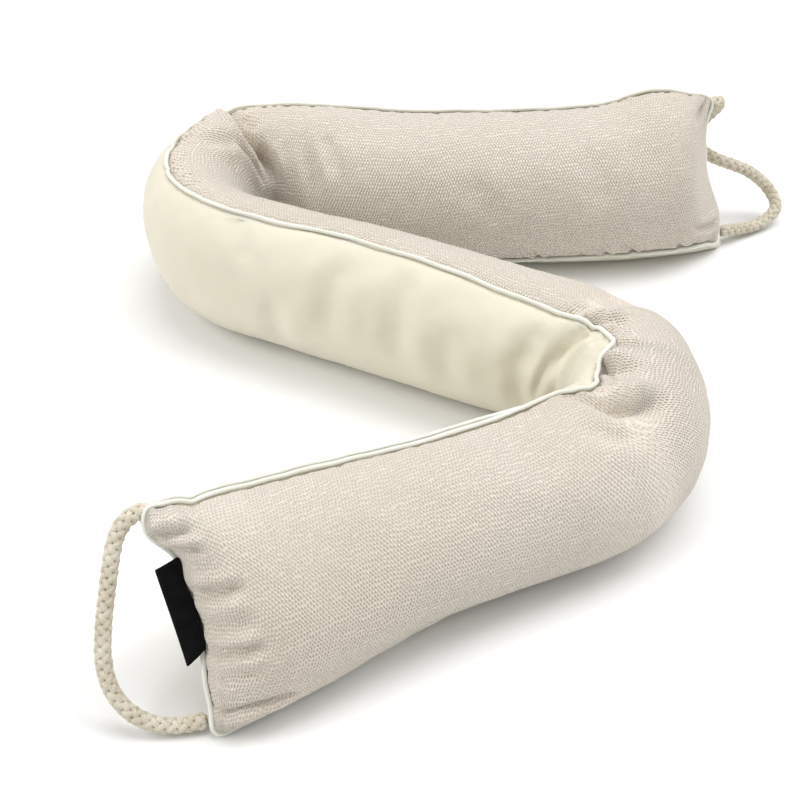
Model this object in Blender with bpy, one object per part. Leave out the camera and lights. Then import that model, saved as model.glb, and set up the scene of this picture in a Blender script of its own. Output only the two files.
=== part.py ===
"""Draught excluder: one long stuffed cushion of two cloths, lying in a zigzag on its seam edge.

Metres, +Z up. The near end is at low X and low Y. From there the cushion runs along the near leg,
round the right bend, back along the middle leg, round the left bend and along the far leg.
Walking that way, the textured front panel is on the right and the smooth back panel on the left.
Every section is an oval whose long axis joins its two seams and leans over to the left.
"""
import math

import bpy
import numpy as np

COLLECTION = "draught_excluder"

# The cushion's middle line: stretches of even turn, each with its length and how far it turns.
COURSE_COLUMNS = ("stretch", "length", "turn_deg")
COURSE = (
    ("near leg", 0.238, -5.0),
    ("right bend", 0.125, 127.0),
    ("middle leg", 0.217, -0.5),
    ("left bend", 0.134, -160.5),
    ("far leg", 0.176, 8.0),
    ("far end", 0.114, 13.0),
)
START = (-0.138, -0.2115)
START_HEADING_DEG = 32.0
EASE = 0.050                # length over which one turn eases into the next

# The cushion's sections: how far along it as a share of its length, half of the height from seam
# to seam, the depth of the front and of the back panel from that line, and the lean to the left.
SECTION_COLUMNS = ("share", "half_height", "front", "back", "lean_deg")
SECTIONS = (
    (0.00, 0.060, 0.046, 0.043, 33.0),
    (0.08, 0.053, 0.042, 0.045, 38.0),
    (0.18, 0.047, 0.043, 0.043, 33.0),
    (0.28, 0.048, 0.046, 0.040, 27.0),
    (0.36, 0.047, 0.044, 0.042, 21.0),
    (0.46, 0.048, 0.042, 0.043, 11.0),
    (0.58, 0.049, 0.036, 0.041, 18.0),
    (0.68, 0.052, 0.037, 0.041, 28.0),
    (0.76, 0.051, 0.045, 0.040, 25.0),
    (0.88, 0.052, 0.049, 0.039, 26.0),
    (1.00, 0.054, 0.043, 0.040, 26.0),
)

# The cushion's surface.
RING_SPACING = 0.012
AROUND_DEG = (0, 6, 14, 26, 42, 60, 80, 100, 120, 138, 154, 166, 174, 180)
SETTLE = 0.003              # how far the oval would reach below the floor
TUCK = 0.92                 # inside a bend the cloth stops at this share of the bend's radius
SEAM_GROOVE = 0.0015        # depth of the groove that the piping lies in
FOOT_GROOVE = 0.0050        # height of the groove over the floor, where the lower seam runs
GROOVE_DEG = 13.0           # half the width of both grooves, as an angle around the section

# The two ends, which close to a narrow sewn edge.
END_ROUND = 0.050           # length over which the cushion swells from the end seam to full girth
END_HALF = 0.0016           # half the thickness of the end seam
END_HOLLOW = 0.011          # how far the middle of the end seam is drawn in between its corners
CORNER_ROUND = 0.005        # rounding of the four sewn corners
END_RINGS = (0.0, 0.0015, 0.004, 0.008, 0.014, 0.022, 0.031, 0.041)

# Piping.
PIPING_RADIUS = 0.0014
PIPING_GAP = 0.0010
PIPING_SIDES = 6
END_PIPING_POINTS = 16

# Rope handles: the middle line of each, from the upper corner of its end to the lower one.
ROPE_RADIUS = 0.0045
ROPE_POINTS = 24
ROPE_COLUMNS = ("x", "y", "z")
NEAR_ROPE = (
    (-0.1598, -0.1863, 0.0983),
    (-0.1630, -0.1875, 0.0945),
    (-0.1680, -0.1930, 0.0850),
    (-0.1705, -0.2000, 0.0735),
    (-0.1725, -0.2070, 0.0620),
    (-0.1740, -0.2135, 0.0505),
    (-0.1745, -0.2195, 0.0395),
    (-0.1730, -0.2250, 0.0290),
    (-0.1685, -0.2300, 0.0200),
    (-0.1610, -0.2335, 0.0125),
    (-0.1520, -0.2350, 0.0075),
    (-0.1420, -0.2350, 0.0055),
    (-0.1320, -0.2340, 0.0060),
)
FAR_ROPE = (
    (0.1870, 0.2315, 0.0870),
    (0.1850, 0.2395, 0.0810),
    (0.1800, 0.2445, 0.0700),
    (0.1780, 0.2425, 0.0580),
    (0.1810, 0.2355, 0.0490),
    (0.1890, 0.2285, 0.0460),
    (0.2000, 0.2255, 0.0430),
    (0.2110, 0.2265, 0.0380),
    (0.2220, 0.2275, 0.0300),
    (0.2320, 0.2265, 0.0195),
    (0.2360, 0.2205, 0.0115),
    (0.2300, 0.2125, 0.0065),
    (0.2180, 0.2045, 0.0050),
    (0.2050, 0.1975, 0.0070),
    (0.1980, 0.1935, 0.0090),
)

# The folded woven tab, sewn into the near end's seam in front of the piping.
LABEL_DEEP = 0.014          # how far it stands out from the seam
LABEL_THICK = 0.0010
LABEL_TOP_DEG = 55.0        # where it starts and ends, as angles around the section
LABEL_FOOT_DEG = 105.0
LABEL_OFFSET = 0.0032       # its distance in front of the middle of the seam
LABEL_START = 0.0006        # its distance out from the seam
LABEL_DROOP = 0.50          # how far it sinks for each metre that it stands out
LABEL_STEPS = 8
LABEL_ROWS = 4

FRONT_FABRIC = ((0.70, 0.62, 0.55), 0.95)
PIPING_FABRIC = ((0.82, 0.83, 0.76), 0.85)
ROPE_COTTON = ((0.66, 0.58, 0.46), 0.95)
LABEL_WOVEN = ((0.01, 0.01, 0.012), 0.80)


def clear_scene():
    for item in list(bpy.data.objects):
        bpy.data.objects.remove(item, do_unlink=True)


def material(name, colour, roughness):
    made = bpy.data.materials.new(name)
    made.use_nodes = True
    shader = made.node_tree.nodes["Principled BSDF"]
    shader.inputs["Base Color"].default_value = (*colour, 1.0)
    shader.inputs["Roughness"].default_value = roughness
    shader.inputs["Metallic"].default_value = 0.0
    return made


def natural_spline(knots, values, where):
    """Values at the places in where, on the natural cubic spline through the values at the knots."""
    gap = np.diff(knots)[:, None]
    slope = np.diff(values, axis=0) / gap
    count = len(knots)
    system = np.eye(count)
    right = np.zeros_like(values)
    for row in range(1, count - 1):
        system[row, row - 1] = gap[row - 1, 0]
        system[row, row] = 2.0 * (gap[row - 1, 0] + gap[row, 0])
        system[row, row + 1] = gap[row, 0]
        right[row] = 6.0 * (slope[row] - slope[row - 1])
    curve = np.linalg.solve(system, right)
    span = np.clip(np.searchsorted(knots, where) - 1, 0, count - 2)
    width = gap[span]
    after = (np.asarray(where) - knots[span])[:, None]
    before = width - after
    bent = curve[span] * before ** 3 + curve[span + 1] * after ** 3
    low = (values[span] / width - curve[span] * width / 6.0) * before
    high = (values[span + 1] / width - curve[span + 1] * width / 6.0) * after
    return bent / (6.0 * width) + low + high


def running_sum(values):
    """The integral of evenly spaced values, by trapezia, in units of their spacing."""
    middles = (values[1:] + values[:-1]) / 2.0
    return np.concatenate([[0.0], np.cumsum(middles)])


def unit(vectors):
    return vectors / np.linalg.norm(vectors, axis=-1, keepdims=True)


class Route:
    """The cushion's middle line by true length, and its sections along it."""

    def __init__(self, step=0.0005):
        lengths = np.array([row[1] for row in COURSE])
        turns = np.radians([row[2] for row in COURSE])
        self.length = lengths.sum()
        self.travel = np.linspace(0.0, self.length, int(self.length / step) + 1)
        stretch = np.searchsorted(np.cumsum(lengths)[:-1], self.travel)
        even = (turns / lengths)[stretch]
        reach = int(EASE / step / 2)
        padded = np.pad(even, reach, mode="edge")
        self.turn = np.convolve(padded, np.ones(2 * reach + 1) / (2 * reach + 1), mode="valid")
        gap = self.travel[1]
        self.heading = math.radians(START_HEADING_DEG) + running_sum(self.turn) * gap
        east = START[0] + running_sum(np.cos(self.heading)) * gap
        north = START[1] + running_sum(np.sin(self.heading)) * gap
        self.line = np.column_stack([east, north])
        table = np.array(SECTIONS)
        self.sections = natural_spline(table[:, 0], table[:, 1:], self.travel / self.length)

    def at(self, travel):
        """Plan position, direction, turn per metre and the four section sizes at some places."""
        inside = np.clip(travel, 0.0, self.length)
        heading = np.interp(inside, self.travel, self.heading)
        along = np.column_stack([np.cos(heading), np.sin(heading)])
        flat = np.column_stack([np.interp(inside, self.travel, axis) for axis in self.line.T])
        flat += along * (travel - inside)[:, None]
        sizes = [np.interp(inside, self.travel, column) for column in self.sections.T]
        return flat, along, np.interp(inside, self.travel, self.turn), sizes


def swell(distance):
    """Share of the full girth at a distance from an end seam."""
    part = np.clip(distance / END_ROUND, 0.0, 1.0)
    return np.sqrt(1.0 - (1.0 - part) ** 2.2)


def corner(distance):
    """How much lower the seam runs near its corner than along the cushion."""
    part = np.clip(1.0 - distance / CORNER_ROUND, 0.0, 1.0)
    return CORNER_ROUND * (1.0 - np.sqrt(1.0 - part ** 2))


def groove(angle):
    """One at the upper or lower seam, falling to nothing at the groove's edge."""
    off = np.minimum(np.abs(angle), math.pi - np.abs(angle)) / math.radians(GROOVE_DEG)
    return np.clip(1.0 - off, 0.0, 1.0)


def surface(route, travel, angle):
    """Points of the cushion. angle is 0 at the upper seam, positive down the front panel and
    negative down the back panel, and half a turn at the lower seam."""
    nearest = np.minimum(travel, route.length - travel)
    outward = np.where(travel < route.length / 2, -1.0, 1.0)
    drawn_in = END_HOLLOW * np.sin(angle) ** 2 * np.clip(1.0 - nearest / END_ROUND, 0.0, 1.0)
    flat, along, turn, (full_height, front, back, lean) = route.at(travel - outward * drawn_in)
    lean = np.radians(lean)
    half_height = full_height - corner(nearest)
    full = np.where(angle >= 0.0, front, back)
    bulge = END_HALF + (full - END_HALF) * swell(nearest)
    centre = np.hypot(full_height * np.cos(lean), back * np.sin(lean)) - SETTLE
    tall = (half_height - SEAM_GROOVE * groove(angle) * (np.cos(angle) > 0)) * np.cos(angle)
    wide = bulge * np.sin(angle)
    to_right = wide * np.cos(lean) - tall * np.sin(lean)
    height = centre + tall * np.cos(lean) + wide * np.sin(lean)
    inner = to_right * -np.sign(turn)
    limit = TUCK / np.maximum(np.abs(turn), 1e-6)
    tucked = np.where(inner > 0.0, limit * np.tanh(np.maximum(inner, 0.0) / limit), inner)
    to_right = np.where(turn == 0.0, to_right, tucked * -np.sign(turn))
    floor = np.where(np.cos(angle) < 0.0, FOOT_GROOVE * groove(angle), 0.0)
    height = np.maximum(height, floor)
    across = np.stack([along[:, 1], -along[:, 0]], axis=1)
    return np.column_stack([flat + across * to_right[:, None], height])


def ring_places(route):
    """Places along the route: close together at both ends, evenly spaced between them."""
    first = END_RINGS[-1] + RING_SPACING * 0.8
    count = int(round((route.length - 2.0 * first) / RING_SPACING))
    middle = np.linspace(first, route.length - first, count + 1)
    return np.concatenate([END_RINGS, middle, route.length - np.array(END_RINGS[::-1])])


def around_angles():
    """Angles once round the section, from the upper seam down the front and up the back."""
    down = np.radians(AROUND_DEG)
    return np.concatenate([down, -down[-2:0:-1]])


def mesh_object(name, points, faces, look):
    mesh = bpy.data.meshes.new(name)
    mesh.from_pydata([tuple(point) for point in points], [], faces)
    mesh.materials.append(look)
    mesh.shade_smooth()
    mesh.update()
    made = bpy.data.objects.new(name, mesh)
    bpy.data.collections[COLLECTION].objects.link(made)
    return made


def tube_faces(rings, sides, closed):
    """Quads between neighbouring rings of a loft; an open loft is left open at both ends."""
    faces = []
    for ring in range(rings if closed else rings - 1):
        for side in range(sides):
            here = ring * sides
            there = (ring + 1) % rings * sides
            beside = (side + 1) % sides
            faces.append((here + side, here + beside, there + beside, there + side))
    return faces


def end_faces(start, sides, flip):
    """The narrow sewn edge of an end: strips between matching points of the front and back."""
    half = sides // 2
    faces = []
    for step in range(half):
        front = (start + step, start + step + 1)
        back = (start + (sides - step - 1) % sides, start + (sides - step) % sides)
        quad = [front[0], front[1], back[0], back[1]]
        kept = list(dict.fromkeys(quad))
        faces.append(tuple(kept[::-1] if flip else kept))
    return faces


def make_cushion(route, look):
    places = ring_places(route)
    angles = around_angles()
    sides = len(angles)
    travel = np.repeat(places, sides)
    points = surface(route, travel, np.tile(angles, len(places)))
    faces = tube_faces(len(places), sides, closed=False)
    faces += end_faces(0, sides, flip=True)
    faces += end_faces((len(places) - 1) * sides, sides, flip=False)
    return mesh_object("cushion", points, faces, look)


def end_seam(route, travel, count):
    """Points down the middle of an end seam, from its upper to its lower corner."""
    down = np.linspace(0.0, math.pi, count + 2)[1:-1]
    front = surface(route, np.full(count, travel), down)
    back = surface(route, np.full(count, travel), -down)
    return (front + back) / 2.0


def section_axes(route, travel):
    """The lean of the section at each place: its direction from the lower seam to the upper one,
    and its direction from the back panel to the front one."""
    _, along, _, sizes = route.at(travel)
    lean = np.radians(sizes[3])[:, None]
    across = np.stack([along[:, 1], -along[:, 0], np.zeros(len(along))], axis=1)
    rise = np.array([[0.0, 0.0, 1.0]])
    upward = rise * np.cos(lean) - across * np.sin(lean)
    forward = across * np.cos(lean) + rise * np.sin(lean)
    return upward, forward


def seam_line(route):
    """The seam once round the cushion, and the direction across it to the front at each point."""
    places = ring_places(route)
    upper = surface(route, places, np.zeros(len(places)))
    lower = surface(route, places, np.full(len(places), math.pi))
    near = end_seam(route, 0.0, END_PIPING_POINTS)
    far = end_seam(route, route.length, END_PIPING_POINTS)
    line = np.concatenate([upper, far, lower[::-1], near[::-1]])
    ends = np.zeros(END_PIPING_POINTS)
    travel = np.concatenate([places, ends + route.length, places[::-1], ends])
    return line, section_axes(route, travel)[1]


def make_piping(route, look):
    line, forward = seam_line(route)
    along = unit(np.roll(line, -1, axis=0) - np.roll(line, 1, axis=0))
    outward = unit(np.cross(forward, along))
    middle = line + outward * (PIPING_RADIUS + PIPING_GAP)
    in_groove = (line[:, 2] < FOOT_GROOVE * 1.05)[:, None]
    floor = np.array([0.0, 0.0, PIPING_RADIUS * 1.2])
    middle = np.where(in_groove, line * np.array([1.0, 1.0, 0.0]) + floor, middle)
    along = unit(np.roll(middle, -1, axis=0) - np.roll(middle, 1, axis=0))
    outward = unit(np.cross(forward, along))
    beside = np.cross(along, outward)
    turn = np.arange(PIPING_SIDES) * 2.0 * math.pi / PIPING_SIDES
    offset = outward[:, None] * np.cos(turn)[:, None] + beside[:, None] * np.sin(turn)[:, None]
    points = (middle[:, None] + PIPING_RADIUS * offset).reshape(-1, 3)
    faces = tube_faces(len(middle), PIPING_SIDES, closed=True)
    return mesh_object("piping", points, faces, look)


def make_rope(name, route_points, look):
    """A round tube on a smooth curve through the rope's own points."""
    own = np.array(route_points)
    knots = np.concatenate([[0.0], np.cumsum(np.linalg.norm(np.diff(own, axis=0), axis=1))])
    smooth = natural_spline(knots, own, np.linspace(0.0, knots[-1], ROPE_POINTS))
    curve = bpy.data.curves.new(name, "CURVE")
    curve.dimensions = "3D"
    curve.bevel_depth = ROPE_RADIUS
    curve.bevel_resolution = 2
    curve.render_resolution_u = 0
    curve.use_fill_caps = True
    spline = curve.splines.new("POLY")
    spline.points.add(ROPE_POINTS - 1)
    for point, place in zip(spline.points, smooth):
        point.co = (*place, 1.0)
    curve.materials.append(look)
    made = bpy.data.objects.new(name, curve)
    bpy.data.collections[COLLECTION].objects.link(made)
    return made


def make_label(route, look):
    """A thin strip that follows the end seam and stands out from it, sinking a little."""
    turn = np.radians(np.linspace(LABEL_TOP_DEG, LABEL_FOOT_DEG, LABEL_STEPS + 1))
    start = np.zeros(len(turn))
    seam = (surface(route, start, turn) + surface(route, start, -turn)) / 2.0
    _, along, _, _ = route.at(start[:1])
    upward, forward = section_axes(route, start[:1])
    outward = -np.array([*along[0], LABEL_DROOP])
    points = []
    for row in range(LABEL_ROWS + 1):
        out = LABEL_START + LABEL_DEEP * row / LABEL_ROWS
        points.append(seam + outward * out + forward[0] * LABEL_OFFSET)
    sheet = np.array(points)
    front = (sheet + forward[0] * LABEL_THICK / 2.0).reshape(-1, 3)
    back = (sheet - forward[0] * LABEL_THICK / 2.0).reshape(-1, 3)
    return slab_object("label", front, back, LABEL_ROWS + 1, LABEL_STEPS + 1, look)


def slab_object(name, front, back, rows, columns, look):
    """A closed slab between two grids of points that match."""
    faces = []
    under = rows * columns
    for row in range(rows - 1):
        for column in range(columns - 1):
            here = row * columns + column
            quad = (here, here + 1, here + columns + 1, here + columns)
            faces.append(quad[::-1])
            faces.append(tuple(under + corner for corner in quad))
    rim = [column for column in range(columns)]
    rim += [row * columns + columns - 1 for row in range(1, rows)]
    rim += [(rows - 1) * columns + column for column in range(columns - 2, -1, -1)]
    rim += [row * columns for row in range(rows - 2, 0, -1)]
    for here, there in zip(rim, rim[1:] + rim[:1]):
        faces.append((here, there, under + there, under + here))
    return mesh_object(name, np.concatenate([front, back]), faces, look)


def main():
    clear_scene()
    collection = bpy.data.collections.new(COLLECTION)
    bpy.context.scene.collection.children.link(collection)
    route = Route()
    rope_look = material("rope", *ROPE_COTTON)
    make_cushion(route, material("front_fabric", *FRONT_FABRIC))
    make_piping(route, material("piping", *PIPING_FABRIC))
    make_rope("handle_near", NEAR_ROPE, rope_look)
    make_rope("handle_far", FAR_ROPE, rope_look)
    make_label(route, material("label", *LABEL_WOVEN))


main()
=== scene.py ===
"""Looks of the draught excluder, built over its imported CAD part."""
import math

import bmesh
import bpy
import numpy as np
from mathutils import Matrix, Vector


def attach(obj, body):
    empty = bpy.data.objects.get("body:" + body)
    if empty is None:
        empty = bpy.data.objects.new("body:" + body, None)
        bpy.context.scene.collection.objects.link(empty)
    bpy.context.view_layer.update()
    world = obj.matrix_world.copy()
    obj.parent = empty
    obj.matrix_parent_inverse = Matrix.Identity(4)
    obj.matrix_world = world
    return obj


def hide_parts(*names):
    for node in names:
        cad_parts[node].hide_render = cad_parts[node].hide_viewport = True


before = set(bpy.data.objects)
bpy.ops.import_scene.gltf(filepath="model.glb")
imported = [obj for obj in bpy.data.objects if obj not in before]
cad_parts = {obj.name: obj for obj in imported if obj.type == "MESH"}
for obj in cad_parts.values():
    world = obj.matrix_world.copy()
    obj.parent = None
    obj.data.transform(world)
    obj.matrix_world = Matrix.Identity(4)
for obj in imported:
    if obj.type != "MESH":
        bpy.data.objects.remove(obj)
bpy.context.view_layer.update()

# --- the cushion's shape
# Lengths are in metres unless a name or a column says mm.
COURSE_COLUMNS = ("stretch", "length", "turn_deg")
COURSE = (
    ("near leg", 0.238, -5.0),
    ("right bend", 0.125, 127.0),
    ("middle leg", 0.217, -0.5),
    ("left bend", 0.134, -160.5),
    ("far leg", 0.176, 8.0),
    ("far end", 0.114, 13.0),
)
START = (-0.138, -0.2115)
START_HEADING_DEG = 32.0
EASE = 0.050

SECTION_COLUMNS = ("share", "half_height", "front", "back", "lean_deg")
SECTIONS = (
    (0.00, 0.060, 0.046, 0.043, 33.0),
    (0.08, 0.053, 0.042, 0.045, 38.0),
    (0.18, 0.047, 0.043, 0.043, 33.0),
    (0.28, 0.048, 0.046, 0.040, 27.0),
    (0.36, 0.047, 0.044, 0.042, 21.0),
    (0.46, 0.048, 0.042, 0.043, 11.0),
    (0.58, 0.049, 0.036, 0.041, 18.0),
    (0.68, 0.052, 0.037, 0.041, 28.0),
    (0.76, 0.051, 0.045, 0.040, 25.0),
    (0.88, 0.052, 0.049, 0.039, 26.0),
    (1.00, 0.054, 0.043, 0.040, 26.0),
)
SETTLE = 0.003
TUCK = 0.92
END_ROUND = 0.050
END_HALF = 0.0016
END_HOLLOW = 0.011
CORNER_ROUND = 0.005

# Where the sewn seams run: degrees round the section from its top, + to the front.
SEAM_COLUMNS = ("travel_mm", "degrees")
UPPER_SEAM = (
    (0, 3), (12, 7), (190, 7), (212, 3), (228, -5), (239, -7), (245, 9), (252, 15), (260, 13),
    (270, 5), (280, 1), (291, 1), (297, 4), (303, 16), (316, 12), (333, 9), (345, 5), (360, 0),
    (560, 0), (600, 0), (620, -5), (640, -9), (655, -5), (680, 2), (720, 4), (930, 4), (992, 4),
    (1004, 0),
)
LOWER_SEAM = ((0, 180), (790, 180), (850, 160), (900, 153), (975, 152), (1004, 155))

# Soft swellings and dents: place, half widths along and around, and height out of the surface.
SWELL_COLUMNS = ("travel_mm", "angle_deg", "along_mm", "around_deg", "height_mm")
SWELLS = (
    (668, 24, 16, 22, 5),
    (640, -40, 40, 40, 2),
    (590, -110, 40, 30, 3),
    (958, 2, 28, 50, 7),
    (1004, 0, 12, 40, -3.5),
    (660, 46, 13, 28, 5),
    (996, 88, 12, 66, -4.5),
    (345, 50, 9, 15, -3.5),
    (327, 66, 12, 20, 3.5),
    (130, 165, 45, 30, -4.5),
    (12, 32, 14, 20, 3),
    (300, 60, 26, 40, 3),
)

# Creases. Crisp is how sharp the bottom is and rim how far the cloth rises beside it. Side is the
# side that slopes away gently, -1 or 1, or 0 for both. Each point is travel_mm, angle_deg.
CREASE_COLUMNS = ("depth_mm", "width_mm", "crisp", "rim", "side", "points")
CREASES = (
    # the near end, running in from its seam
    (4.2, 3.4, 0.5, 0.5, 0, ((-4, 32), (3, 38), (10, 39), (20, 38))),
    (3.2, 2.8, 0.6, 0.4, 0, ((-3, 46), (5, 50), (15, 52))),
    (3.4, 4, 0.3, 0.3, 0, ((29, 8), (20, 17), (14, 29))),
    (3.8, 3.8, 0.4, 0.5, 0, ((-2, 75), (10, 76), (26, 75))),
    (2, 4.5, 0.1, 0.5, 0, ((-2, 92), (9, 93), (26, 92))),
    (3.8, 3.6, 0.4, 0.5, 0, ((-2, 105), (10, 106), (28, 106))),
    (1.8, 3.4, 0.3, 0.3, 0, ((-2, 118), (8, 119), (22, 120))),
    (4.4, 2.6, 0.8, 0.5, 1, ((-3, 144), (8, 143), (20, 145), (34, 148), (44, 150))),
    (1, 3, 0.3, 0.3, 0, ((-2, 132), (6, 133), (15, 133))),
    # the right bend
    (8, 6, 0.3, 0.8, -1, ((245, 18), (251, 35), (258, 46), (267, 53), (277, 57))),
    (3.2, 2.6, 0.8, 0.4, -1, ((239, 0), (242, 18), (248, 33), (256, 45), (267, 53))),
    (3.4, 7, 0, 0.2, 0, ((226, 36), (236, 50), (245, 60), (252, 72))),
    (5.4, 5.5, 0.3, 0.6, -1, ((290, 2), (282, 10), (279, 18), (281, 27), (287, 38))),
    (3, 2.4, 0.8, 0.4, -1, ((291, 2), (282, 10), (279, 18))),
    (2.2, 3, 0.5, 0.4, 0, ((302, 14), (301, 24), (298, 34))),
    (4.6, 4.2, 0.4, 0.6, -1, ((337, 4), (331, 14), (328, 23), (325, 34))),
    (3.6, 4, 0.3, 0.5, -1, ((320, 14), (323, 24), (326, 40))),
    (2, 3, 0.5, 0.3, 0, ((352, 3), (349, 12), (343, 20))),
    (1.6, 3, 0.6, 0.3, 0, ((268, 4), (263, 12), (257, 17))),
    # the pocket inside the right bend
    (8, 5, 0.3, 0.4, 1, ((330, 2), (335, -12), (338, -24), (344, -42), (352, -64))),
    (2.6, 3, 0.6, 0.4, 0, ((350, -34), (356, -56), (361, -80))),
    (2.6, 8, 0, 0.2, 0, ((368, -12), (370, -34), (371, -60))),
    # the left bend
    (12, 4.2, 0.85, 0.30, 1,
     ((678, 2), (679, 16), (679, 32), (678, 47), (682, 63), (688, 80), (694, 98))),
    (4.6, 3.6, 0.4, 0.4, 1, ((685, 18), (685, 30), (688, 46))),
    (7, 3.4, 0.7, 0.4, 1, ((662, 42), (665, 56), (669, 69), (672, 82), (676, 94))),
    (5.6, 4.2, 0.4, 0.4, 0, ((686, 54), (686, 66), (688, 79), (691, 96))),
    (3.8, 2.8, 0.7, 0.5, 1, ((628, -9), (633, 2), (635, 16))),
    (3, 2.8, 0.6, 0.4, 0, ((645, -8), (650, 3), (653, 13))),
    (2.6, 2.6, 0.6, 0.4, 0, ((664, -4), (666, 4), (667, 12))),
    (3, 5, 0.1, 0.4, 0, ((645, 22), (654, 40), (661, 54))),
    # the far leg
    (3.4, 5, 0.2, 0.4, 0, ((724, 50), (728, 73), (731, 86), (733, 112))),
    (2.4, 5, 0.1, 0.4, 0, ((738, 46), (741, 62), (746, 84))),
    (2, 9, 0, 0.2, 0, ((826, 72), (840, 94), (850, 120))),
    (2, 10, 0, 0.2, 0, ((905, 54), (912, 80), (915, 110))),
    (3.4, 4, 0.3, 0.4, 0, ((1004, 20), (992, 34), (982, 50))),
    (2.6, 3, 0.3, 0.4, 0, ((1004, 128), (990, 130), (976, 126))),
    (2.2, 2.3, 0.6, 0.5, 0, ((878, 157), (876, 148), (870, 138))),
    (2, 2.3, 0.6, 0.5, 0, ((921, 154), (919, 145), (913, 136))),
    (2.6, 2.3, 0.6, 0.5, 0, ((938, 154), (935, 144), (927, 133))),
    (2.2, 2.3, 0.6, 0.5, 0, ((970, 153), (968, 145), (962, 136))),
    (1.6, 2.6, 0.4, 0.4, 0, ((932, 4), (938, 14), (946, 26))),
    (1.6, 2.6, 0.4, 0.4, 0, ((964, 4), (970, 14), (976, 26))),
    # the smooth panel of the middle leg
    (3.4, 9, 0, 0.3, 0, ((494, -14), (499, -45), (501, -96))),
    (3.2, 8, 0, 0.3, 0, ((456, -10), (455, -42), (451, -96))),
    (2.8, 7, 0, 0.3, 0, ((378, -22), (375, -58), (371, -104))),
    (2.2, 9, 0, 0.3, 0, ((420, -36), (421, -66), (419, -108))),
    (2.4, 7, 0, 0.3, 0, ((574, -4), (566, -24), (556, -50))),
    (2.2, 8, 0, 0.3, 0, ((534, -56), (537, -84), (537, -118))),
    # the near leg
    (2, 12, 0, 0.2, 0, ((186, 20), (196, 48), (205, 80))),
    (1.6, 12, 0, 0.2, 0, ((90, 56), (96, 85), (98, 116))),
)

# Small gathers along the seams, drawn at random between these limits.
GATHER_SEED = 7
GATHER_FIRST_MM = (8.0, 24.0)
GATHER_GAP_MM = (9.0, 26.0)
GATHER_REACH_DEG = (6.0, 14.0)
GATHER_DEPTH_MM = (0.35, 1.0)
GATHER_SLANT_MM = (-3.0, 3.0)
GATHER_WIDTH_MM = (1.8, 2.8)
GATHER_END_MM = 8.0
GATHER_BACK_SHARE = 0.35

# Points along the middle of each rope, from the upper corner to the lower one.
ROPE_COLUMNS = ("x_mm", "y_mm", "z_mm")
NEAR_ROPE = (
    (-146.5, -180.0, 98.5), (-156.0, -181.2, 99.5), (-163.2, -185.0, 95.5),
    (-168.0, -192.0, 86.0), (-170.5, -200.0, 73.5), (-172.5, -207.0, 62.0),
    (-174.0, -213.5, 50.5), (-174.5, -219.5, 39.5), (-173.0, -225.0, 29.0),
    (-168.5, -230.0, 20.0), (-161.0, -233.5, 12.5), (-152.0, -235.0, 7.5),
    (-142.0, -235.0, 5.5), (-132.0, -233.5, 5.8), (-125.0, -232.0, 6.2),
)
FAR_ROPE = (
    (179.5, 228.0, 88.0), (186.5, 232.5, 88.0), (189.0, 239.5, 80.5),
    (183.5, 244.0, 69.5), (178.0, 242.5, 58.0), (181.0, 235.5, 49.0),
    (189.0, 228.5, 46.0), (200.0, 225.5, 43.0), (211.0, 226.5, 38.0),
    (222.0, 227.5, 30.0), (232.0, 226.5, 19.5), (236.0, 220.5, 11.5),
    (230.0, 212.5, 6.5), (218.0, 204.5, 5.0), (205.0, 197.5, 7.0),
    (198.0, 193.5, 9.0), (191.5, 190.5, 10.0),
)


# --- small helpers
def column(table, columns, name):
    """One named column of a table."""
    place = columns.index(name)
    return np.array([row[place] for row in table], float)


def unit(vectors):
    return vectors / np.maximum(np.linalg.norm(vectors, axis=-1, keepdims=True), 1e-12)


def natural_spline(knots, values, where):
    """A smooth curve through the values at their knots, read at some places."""
    gap = np.diff(knots)[:, None]
    slope = np.diff(values, axis=0) / gap
    count = len(knots)
    system = np.eye(count)
    right = np.zeros_like(values)
    for row in range(1, count - 1):
        system[row, row - 1] = gap[row - 1, 0]
        system[row, row] = 2.0 * (gap[row - 1, 0] + gap[row, 0])
        system[row, row + 1] = gap[row, 0]
        right[row] = 6.0 * (slope[row] - slope[row - 1])
    curve = np.linalg.solve(system, right)
    span = np.clip(np.searchsorted(knots, where) - 1, 0, count - 2)
    width = gap[span]
    after = (np.asarray(where) - knots[span])[:, None]
    before = width - after
    bent = curve[span] * before ** 3 + curve[span + 1] * after ** 3
    low = (values[span] / width - curve[span] * width / 6.0) * before
    high = (values[span + 1] / width - curve[span + 1] * width / 6.0) * after
    return bent / (6.0 * width) + low + high


def running_lengths(grid, axis=0):
    """Lengths along one axis of a line or grid of points, from nothing at its first."""
    steps = np.linalg.norm(np.diff(grid, axis=axis), axis=-1)
    return from_nothing(steps, axis)


def from_nothing(steps, axis=0):
    """The running sum of some steps, with a nothing put first."""
    first = np.zeros_like(np.take(steps, [0], axis=axis))
    return np.concatenate([first, np.cumsum(steps, axis=axis)], axis=axis)


def read(where, knots, values):
    """Several columns of values at once, read between their knots."""
    return np.column_stack([np.interp(where, knots, line) for line in values.T])


def smooth_path(points_mm, step):
    """A smooth curve through the points, in even steps, and its length."""
    own = np.array(points_mm, float) / 1000.0
    knots = running_lengths(own)
    fine = natural_spline(knots, own, np.linspace(0.0, knots[-1], 600))
    far = running_lengths(fine)
    where = np.linspace(0.0, far[-1], max(8, int(round(far[-1] / step)) + 1))
    return read(where, far, fine), far[-1]


def running_sum(values):
    return from_nothing((values[1:] + values[:-1]) / 2.0)


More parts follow.
